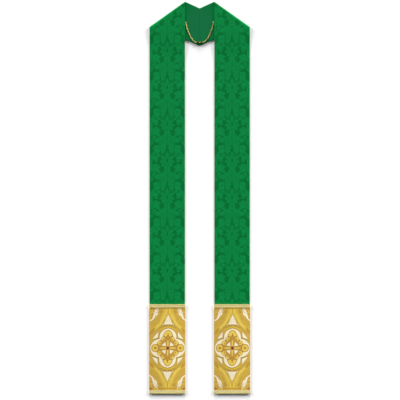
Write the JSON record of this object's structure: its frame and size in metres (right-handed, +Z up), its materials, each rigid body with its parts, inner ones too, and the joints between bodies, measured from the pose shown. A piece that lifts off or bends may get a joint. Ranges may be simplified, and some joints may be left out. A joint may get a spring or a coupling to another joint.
{
  "type": "clerical stole",
  "caption": "Long green damask clerical stole laid out flat, folded at the shoulders, with gold brocade ends and a fine gold chain at the neck.",
  "frame": {"origin": "on the surface the stole lies on, under the middle of its length and width", "axes": "+Y along the fronts towards the neck, +X across the two fronts, +Z up from the surface through the cloth"},
  "size_m": [0.3426, 1.3302, 0.007],
  "materials": {
    "green_damask": "satin",
    "green_satin": "satin",
    "gold_brocade": "satin",
    "gold_braid": "matte",
    "gold_metal": "polished"
  },
  "bodies": {
    "root": {"strap_left": "green_damask", "strap_right": "green_damask", "neck_lining_left": "green_satin", "neck_lining_right": "green_satin", "band_left": "gold_brocade", "band_right": "gold_brocade", "braid_top_left": "gold_braid", "braid_top_right": "gold_braid", "braid_hem_left": "gold_braid", "braid_hem_right": "gold_braid", "chain_left": "gold_metal", "chain_right": "gold_metal", "sewn_ring_left": "gold_metal", "sewn_ring_right": "gold_metal", "clasp_ring_left": "gold_metal", "clasp_ring_right": "gold_metal", "clasp": "gold_metal"}
  },
  "joints": []
}
